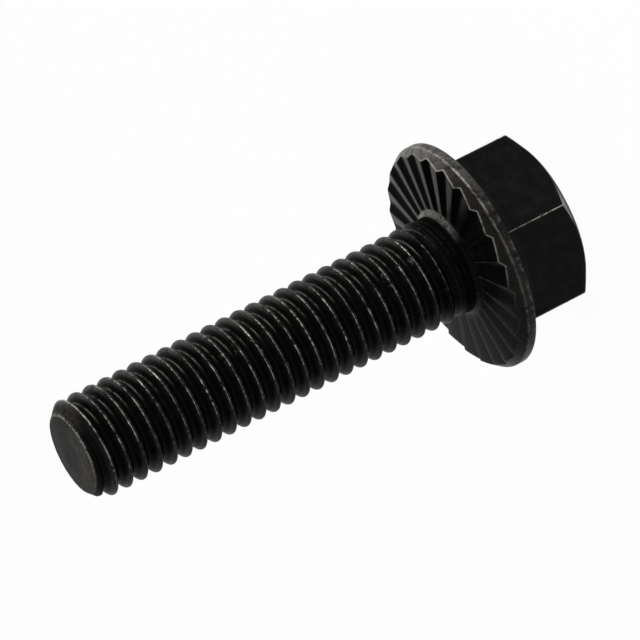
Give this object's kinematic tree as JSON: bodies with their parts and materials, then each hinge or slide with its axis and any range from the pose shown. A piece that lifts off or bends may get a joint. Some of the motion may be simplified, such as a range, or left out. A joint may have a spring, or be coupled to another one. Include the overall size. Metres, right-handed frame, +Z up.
{
  "type": "flange bolt",
  "caption": "Black M8 hexagon flange bolt with a serrated bearing face under its flange, a short plain neck and a right-hand thread to its chamfered point.",
  "frame": {"origin": "The centre of the flat top of the head, on which the bolt stands.", "axes": "+Z runs up the bolt's axis from the head to the point. +X is the outward normal of one flat of the hexagon, and corners of the hexagon face +Y and -Y."},
  "size_m": [0.0178, 0.0178, 0.0402],
  "materials": {
    "black_steel": "satin black oxide, worn bright along its edges"
  },
  "bodies": {
    "root": {"flange_bolt": "black_steel"}
  },
  "joints": []
}
